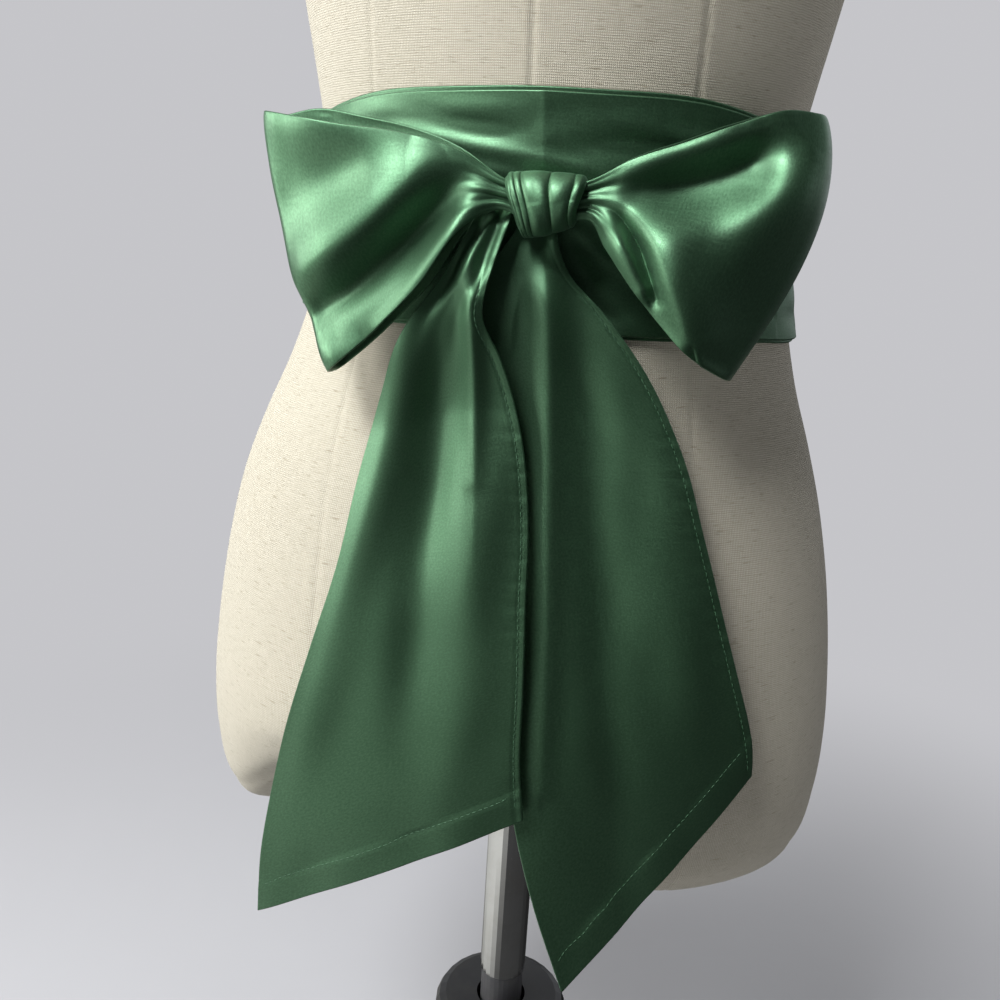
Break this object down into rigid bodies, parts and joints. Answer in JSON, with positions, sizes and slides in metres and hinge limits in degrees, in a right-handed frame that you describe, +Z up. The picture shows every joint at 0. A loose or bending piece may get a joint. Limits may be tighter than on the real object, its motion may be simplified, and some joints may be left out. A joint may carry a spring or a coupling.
{
  "type": "satin sash on a dress form",
  "caption": "Wide satin sash wound round the waist of a limbless dress form and tied in a bow with hanging tails, on a short round stand.",
  "frame": {"origin": "middle of the foot's underside, on the surface that the stand rests on", "axes": "+Z up along the pole, -Y is the front of the form with the bow, +X to the right of a viewer in front"},
  "size_m": [0.347, 0.32, 1.076],
  "materials": {
    "satin": "bottle green satin, smooth face with a strong soft sheen",
    "linen": "natural beige linen, plain weave with slubs, stretched and sewn in panels",
    "chrome": "polished chrome tube",
    "grey_plastic": "dark grey moulded plastic",
    "black_plastic": "black moulded plastic, half gloss",
    "black_paint": "black paint, fine texture"
  },
  "bodies": {
    "root": {"wrap_inner": "satin", "wrap_outer": "satin", "knot": "satin", "loop_left": "satin", "loop_right": "satin", "tail_left": "satin", "tail_right": "satin", "form_torso": "linen", "neck_cap": "black_paint", "pole": "chrome", "pole_bush": "grey_plastic", "stand_hub": "black_plastic", "stand_column": "black_paint", "stand_foot": "black_paint"}
  },
  "joints": []
}
